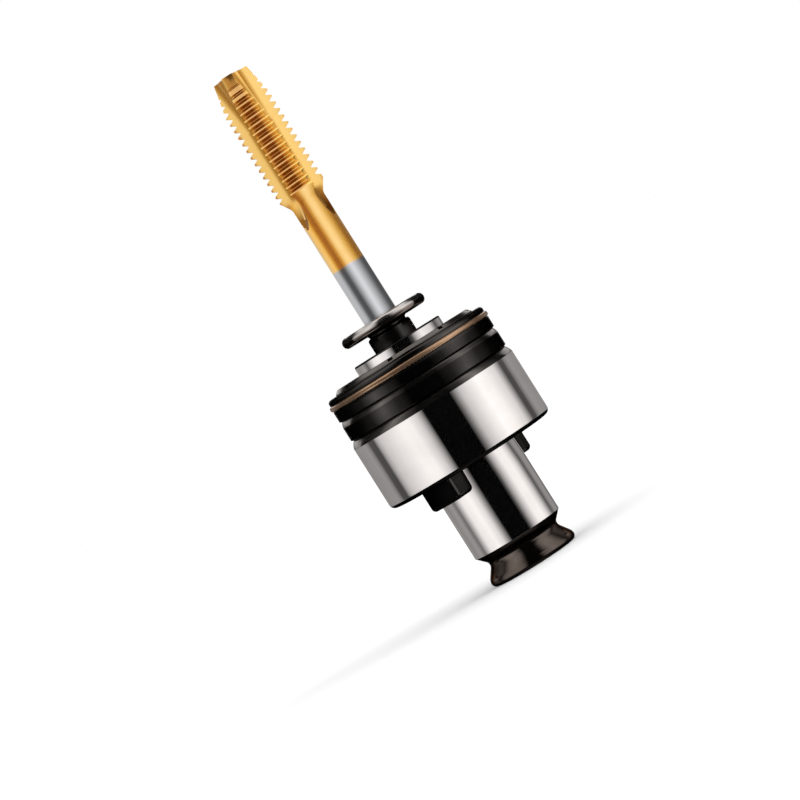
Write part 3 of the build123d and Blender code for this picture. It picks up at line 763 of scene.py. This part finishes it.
def lugRing(size, inset, height):  # a lug's outline at one height, drawn in by the inset
    half = size["lugWidth"] / 2
    corner = size["lugCorner"]
    across = half - corner
    hub = Vector((math.sqrt((size["lugReach"] - corner) ** 2 - across ** 2), across, height))
    lean = math.degrees(math.atan2(across, hub.x))
    faceSteps, turnSteps = size["lugFaceSteps"], size["lugCornerSteps"]
    face = [polar(lean * step / faceSteps, size["lugReach"] - inset, height) for step in range(faceSteps)]
    turnIn = []
    for step in range(turnSteps + 1):
        turnIn.append(hub + polar(lean + (quarterTurn - lean) * step / turnSteps, corner - inset))
    upper = face + turnIn + [Vector((size["lugRoot"], half - inset, height))]
    lower = [Vector((point.x, -point.y, point.z)) for point in reversed(upper[1:])]
    return upper + lower


def lugShape(size, turn):
    rounding = size["lugEdge"]
    levels = [(0.0, size["lugTop"])]
    for step in range(size["lugEdgeSteps"] + 1):  # the rounded lower edge
        angle = math.pi / 2 * step / size["lugEdgeSteps"]
        height = size["lugBottom"] + rounding * (1 - math.sin(angle))
        levels.append((rounding * (1 - math.cos(angle)), height))
    bm = bmesh.new()
    rings = [[bm.verts.new(point * mm) for point in lugRing(size, *level)] for level in levels]
    for above, below in zip(rings, rings[1:]):
        for number in range(len(above)):
            bm.faces.new((above[number - 1], above[number], below[number], below[number - 1]))
    bm.faces.new(rings[0])
    bm.faces.new(rings[-1])
    turnMesh(bm, turn)
    tidyMesh(bm)
    return bm


def makeBody(size):
    piece = toObject(lathe(size["outline"], size["steps"]), "colletBody")
    for turn in (0, halfTurn):
        combine(piece, lugShape(size, turn), "UNION")
    combine(piece, block(size["window"], size["windowCentre"], size["windowAngle"]))
    pockets = bmesh.new()
    for number in range(size["pocketCount"]):
        angle = number * 360 / size["pocketCount"]
        place = polar(angle, size["pocketCircle"], size["pocketHeight"]) * mm
        bmesh.ops.create_uvsphere(pockets, u_segments=32, v_segments=16, radius=size["pocketRadius"] * mm,
                                  matrix=Matrix.Translation(place))
    combine(piece, pockets)

    def choose(radius, height, rise, outward):
        if height < size["footTop"]:
            return "brownOxide"
        if height < size["spigotTop"]:
            return "brightSteel"
        if height < size["lugsTop"]:
            if radius < size["spigotReach"] and abs(rise) < size["spigotRise"]:
                return "brightSteel"
            if rise < size["undersideRise"]:
                return "blackOxide"
            if outward > squareOn:
                return "lugBlack"
            return "blackOxide" if outward > size["lugSide"] else "flankBlack"
        outside = radius > size["outsideFrom"]
        # upward-facing ramps of the grip grooves get the painted highlight
        low, high = size["highlightRise"]
        if outside and height < size["highlightTop"] and low < rise < high:
            return "paintedHighlightBlack"
        return "brightSteel" if size["brightFrom"] <= height < size["brightTo"] and outside else "blackOxide"

    looks = ["brightSteel", "blackOxide", "brownOxide", "lugBlack", "paintedHighlightBlack", "flankBlack"]
    finishPiece(piece, "drive_body", ["drive_body"], looks)
    paintFaces(piece, looks, choose)


makeBody(bodySize)

# Lock wire: tang, bend and ring
wireSize = {
    "radius": 0.55,
    "height": 45.75,
    "ring": 17.35,
    "bend": 1.1,
    "tangTip": 14.45,
    "turn": 29.3,
    "gap": 24.0,
    "sides": 24,
    "bendSteps": 14,
    "ringSteps": 240,
    "sharpAngle": 50.0,
}


def makeWire(size):
    bm = bmesh.new()
    reach = math.sqrt((size["ring"] - size["bend"]) ** 2 - size["bend"] ** 2)
    swing = math.atan2(size["bend"], reach)
    bmesh.ops.create_circle(bm, cap_ends=True, segments=size["sides"], radius=size["radius"] * mm)
    turnMesh(bm, quarterTurn, "Y")
    moveMesh(bm, (size["tangTip"], 0, size["height"]))
    grown = pullFaces(bm, ((reach - size["tangTip"]) * mm, 0, 0))
    centre = Vector((reach, size["bend"], size["height"])) * mm
    grown = bmesh.ops.spin(bm, geom=grown, cent=centre, axis=upright, dvec=(0, 0, 0),
                           angle=math.pi / 2 + swing, steps=size["bendSteps"])["geom_last"]
    bmesh.ops.spin(bm, geom=grown, cent=(0, 0, 0), axis=upright, dvec=(0, 0, 0),
                   angle=math.radians(360 - size["gap"]), steps=size["ringSteps"])
    turnMesh(bm, size["turn"])
    tidyMesh(bm)
    piece = toObject(bm, "bronzeWire")
    finishPiece(piece, "drive_body", ["lock_wire"], ["bronzeWire"], size["sharpAngle"])


makeWire(wireSize)

# Adjusting nut: key slots on top, locking grooves in its side
nutSize = {
    "outline": [
        (9.7, 40.64, 0.0), (10.0, 40.34, 0.0), (15.15, 40.34, 0.0), (15.45, 40.64, 0.0),
        (15.45, 47.69, 0.1), (14.7, 48.44, 0.12), (9.9, 48.44, 0.05), (9.7, 48.24, 0.0),
    ],
    "steps": 240,
    "count": 8,
    "turn": 29.3,
    "slot": (3.0, 1.1, 1.1),
    "slotCentre": (14.2, 0.0, 48.44),
    "groove": (1.6, 1.2, 2.9),
    "grooveCentre": (14.85, 0.0, 45.99),
    "highlightFrom": 14.7,  # radius, height and rise of the upper edge with the painted highlight
    "highlightAbove": 47.69,
    "highlightRise": 0.4,
}


def makeNut(size):
    piece = toObject(lathe(size["outline"], size["steps"]), "slottedNut")
    for number in range(size["count"]):
        turn = size["turn"] + number * 360 / size["count"]
        combine(piece, block(size["slot"], size["slotCentre"], turn))
        combine(piece, block(size["groove"], size["grooveCentre"], turn))
    looks = ["blackOxide", "paintedHighlightBlack"]
    finishPiece(piece, "adjusting_nut", ["adjusting_nut"], looks)

    def choose(radius, height, rise, outward):
        highlighted = radius > size["highlightFrom"] and height > size["highlightAbove"] and rise > size["highlightRise"]
        return "paintedHighlightBlack" if highlighted else "blackOxide"

    paintFaces(piece, looks, choose)


makeNut(nutSize)

# Head collar with its locking taper inside
collarSize = {
    "outline": [
        (7.02, 41.135, 0.0), (9.3, 41.135, 0.0), (9.6, 41.435, 0.0), (9.6, 50.34, 0.35), (4.7, 50.34, 0.1),
        (4.7, 49.54, 0.0), (5.382, 49.54, 0.0), (6.026, 44.955, 0.0), (7.02, 44.955, 0.0),
    ],
    "steps": 224,
    "brightFrom": 9.5,  # radius and height of the bright outside
    "brightTo": 50.0,
}


def makeCollar(size):
    piece = toObject(lathe(size["outline"], size["steps"]), "headCollar")
    looks = ["brightSteel", "blackOxide"]
    finishPiece(piece, "spindle", ["lock_collar"], looks)

    def choose(radius, height, rise, outward):
        bright = radius > size["brightFrom"] and height < size["brightTo"]
        return "brightSteel" if bright else "blackOxide"

    paintFaces(piece, looks, choose)


makeCollar(collarSize)

# Release sleeve
sleeveSize = {
    "outline": [
        (3.55, 43.34, 0.0), (4.35, 43.34, 0.0), (4.65, 43.64, 0.0), (4.65, 43.92, 0.0), (4.3, 43.92, 0.0),
        (4.3, 44.56, 0.0), (4.65, 44.56, 0.0), (4.65, 53.34, 0.55), (4.05, 53.34, 0.0),
        (4.05, 53.94, 0.45), (9.2, 53.94, 1.05), (9.2, 56.14, 1.05), (3.85, 56.14, 0.08), (3.55, 55.84, 0.08),
    ],
    "steps": 192,
    "windows": 3,
    "windowTurn": 90.0,
    "windowRadius": 1.02,
    "windowLength": 8.0,
    "windowHeight": 48.34,
    "windowSteps": 32,
    "flangeFrom": 6.6,  # radius and heights of the flange's painted light and shade
    "flangeBottom": 53.9,
    "flangeMiddle": 55.04,
}


def makeSleeve(size):
    piece = toObject(lathe(size["outline"], size["steps"]), "pushSleeve")
    start = (0, 0, size["windowHeight"])
    for number in range(size["windows"]):
        turn = size["windowTurn"] + number * 360 / size["windows"]
        hole = rod(size["windowRadius"], size["windowLength"], start, polar(turn), size["windowSteps"])
        combine(piece, hole)
    looks = ["blackOxide", "rimPaintedLight", "rimPaintedShade"]
    finishPiece(piece, "release_sleeve", ["release_sleeve"], looks)

    def choose(radius, height, rise, outward):
        if radius < size["flangeFrom"] or height < size["flangeBottom"]:
            return "blackOxide"
        # upper half of the flange painted lighter, lower half painted darker
        return "rimPaintedLight" if height > size["flangeMiddle"] else "rimPaintedShade"

    paintFaces(piece, looks, choose)


makeSleeve(sleeveSize)

# Tap: square, shank, thread, three flutes and spiral-point cuts
tapSize = {
    "outline": [
        (0.0, 35.74, 0.0), (3.0, 35.74, 0.0), (3.5, 36.24, 0.0), (3.5, 82.34, 0.5), (5.0, 84.74, 0.0),
        (5.0, 104.24, 0.0), (3.85, 110.74, 0.05), (0.0, 110.74, 0.0),
    ],
    "steps": 144,
    "square": 5.5,
    "squareTop": 43.74,
    "flat": (3.0, 9.0, 9.0),  # what is cut away on each side of the square
    "pitch": 1.5,
    "rootRadius": 4.06,
    "rootFlat": 0.14,
    "outRadius": 5.15,
    "outFlat": 1.398,
    "threadFrom": 84.75,
    "threadTurns": 19,
    "stepsPerTurn": 72,
    "flutes": 3,
    "fluteRadius": 2.5,
    "fluteCentre": 4.7,
    "fluteStraightTo": 84.04,
    "fluteSides": 56,
    "runoutRadius": 15.0,
    "runoutAngle": 60.0,
    "runoutSteps": 24,
    "tip": 110.74,
    "overrun": 3.0,  # how far the cutters reach past the tip
    "landTurn": coatingLook["landTurn"],
    "pointLength": 11.3,
    "pointSlant": 10.0,
    "pointSink": 0.25,
    "sharpAngle": 26.0,
    "darkRadius": 3.46,  # from here down: where the finish changes, by radius, height and facing
    "darkHeights": (76.5, 84.0),
    "darkOutward": 0.96,
    "tipFace": 0.2,
    "floorRadius": 3.9,
    "flankRise": 0.6,
    "rootLimit": 4.3,
}


def fluteTool(size, turn):
    bm = bmesh.new()
    top = size["tip"] + size["overrun"]
    bmesh.ops.create_circle(bm, cap_ends=True, segments=size["fluteSides"], radius=size["fluteRadius"] * mm)
    moveMesh(bm, (size["fluteCentre"], 0, top))
    grown = pullFaces(bm, (0, 0, (size["fluteStraightTo"] - top) * mm))
    centre = Vector((size["fluteCentre"] + size["runoutRadius"], 0, size["fluteStraightTo"])) * mm
    bmesh.ops.spin(bm, geom=grown, cent=centre, axis=(0, -1, 0), dvec=(0, 0, 0),
                   angle=math.radians(size["runoutAngle"]), steps=size["runoutSteps"])
    turnMesh(bm, turn)
    tidyMesh(bm)
    return bm


def pointTool(size, turn):
    slant = math.radians(size["pointSlant"])
    start = (size["fluteCentre"] - size["pointSink"], 0, size["tip"] - size["pointLength"])
    direction = (0, -math.sin(slant), math.cos(slant))
    length = size["pointLength"] + size["overrun"]
    bm = rod(size["fluteRadius"], length, start, direction, size["fluteSides"])
    turnMesh(bm, turn)
    return bm


def threadTool(size):
    bm = bmesh.new()
    wide, narrow = size["outFlat"] / 2, size["rootFlat"] / 2
    inner, outer = size["rootRadius"], size["outRadius"]
    section = [(inner, -narrow), (outer, -wide), (outer, wide), (inner, narrow)]
    dots = [bm.verts.new((radius * mm, 0, (size["threadFrom"] + rise) * mm)) for radius, rise in section]
    bm.faces.new(dots)
    sweepHelix(bm, size["pitch"], size["threadTurns"], size["stepsPerTurn"])
    tidyMesh(bm)
    return bm


def makeTap(size):
    piece = toObject(lathe(size["outline"], size["steps"], closed=False), "threadedTap")
    deep, wide, tall = size["flat"]
    centre = (size["square"] / 2 + deep / 2, 0, size["squareTop"] - tall / 2)
    for turn in range(0, 360, quarterTurn):
        combine(piece, block((deep, wide, tall), centre, turn))
    for number in range(size["flutes"]):
        turn = size["landTurn"] + (number + 0.5) * 360 / size["flutes"]
        combine(piece, fluteTool(size, turn))
        combine(piece, pointTool(size, turn))
    combine(piece, threadTool(size))
    looks = ["titaniumGold", "flankPaintedShadeGold", "crestPaintedLightGold", "runoutPaintedShadeGold"]
    finishPiece(piece, "tap", ["tap"], looks, size["sharpAngle"])

    def choose(radius, height, rise, outward):
        if height < size["threadFrom"]:
            # painted shade on the flute ends just below the thread
            low, high = size["darkHeights"]
            dark = radius < size["darkRadius"] and low < height < high and outward < size["darkOutward"]
            return "runoutPaintedShadeGold" if dark else "titaniumGold"
        if height > size["tip"] - size["tipFace"]:
            return "titaniumGold"
        if radius < size["floorRadius"] and abs(rise) < size["flankRise"]:  # the flutes' floors
            return "titaniumGold"
        # flanks and roots take the painted shade across the land, crests its painted shade and highlight
        if abs(rise) > size["flankRise"] or (radius < size["rootLimit"] and outward > squareOn):
            return "flankPaintedShadeGold"
        return "crestPaintedLightGold" if outward > squareOn else "titaniumGold"

    paintFaces(piece, looks, choose)


makeTap(tapSize)

# Springs, each with its own mesh; the real ones shorten as what they push on moves
returnSpring = {
    "wire": 0.25,
    "coil": 5.05,
    "bottom": 37.81,
    "pitch": 1.172,
    "turns": 5,
    "seat": 37.56,
    "travel": 2.5,
    "sides": 20,
    "stepsPerTurn": 60,
}
discSprings = {
    "count": 4,
    "steps": 160,
    "bore": 7.1,
    "outside": 14.0,
    "thickness": 1.0,
    "cone": 0.65,
    "rounding": 0.12,
    "bottom": 32.32,
    "top": 38.92,
    "lift": 1.25,  # the clutch's lift flattens the lower two, and the nut's feed the upper two
    "feed": 1.125,
}


def shorten(piece):
    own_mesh(piece)


def makeReturnSpring(size):
    bm = bmesh.new()
    bmesh.ops.create_circle(bm, cap_ends=True, segments=size["sides"], radius=size["wire"] * mm)
    turnMesh(bm, quarterTurn, "X")
    moveMesh(bm, (size["coil"], 0, size["bottom"]))
    sweepHelix(bm, size["pitch"], size["turns"], size["stepsPerTurn"])
    tidyMesh(bm)
    piece = toObject(bm, "returnSpring")
    finishPiece(piece, "spindle", ["release_spring"], ["springSteel"])
    shorten(piece)


def makeDiscSprings(size):
    step = size["thickness"] + size["cone"]
    half = size["count"] // 2
    for number in range(size["count"]):
        level = size["bottom"] + number * step
        inner = size["cone"] if number % 2 == 0 else 0.0
        outer = size["cone"] - inner
        corners = [(size["bore"], level + inner), (size["outside"], level + outer),
                   (size["outside"], level + outer + size["thickness"]),
                   (size["bore"], level + inner + size["thickness"])]
        shape = lathe([(*corner, size["rounding"]) for corner in corners], size["steps"])
        piece = toObject(shape, "discSpring" + str(number + 1))
        lower = number < half
        body = "pressure_ring" if lower else "thrust_washer"
        finishPiece(piece, body, ["disc_spring_" + str(number + 1)], ["springSteel"])
        if lower:
            shorten(piece)
        else:
            shorten(piece)


makeReturnSpring(returnSpring)
makeDiscSprings(discSprings)

# Other inner pieces keep their CAD shape
innerLooks = {
    "spindle": "hardenedSteel", "pressure_ring": "hardenedSteel", "thrust_washer": "hardenedSteel",
    "tail_snap_ring": "springSteel", "sleeve_stop_ring": "springSteel",
}
for node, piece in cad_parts.items():
    look = innerLooks.get(node)
    if "ball" in node:
        look = "polishedBall"
    if look:
        piece.data.materials.clear()
        piece.data.materials.append(finishes[look])
print("stage: inner pieces")
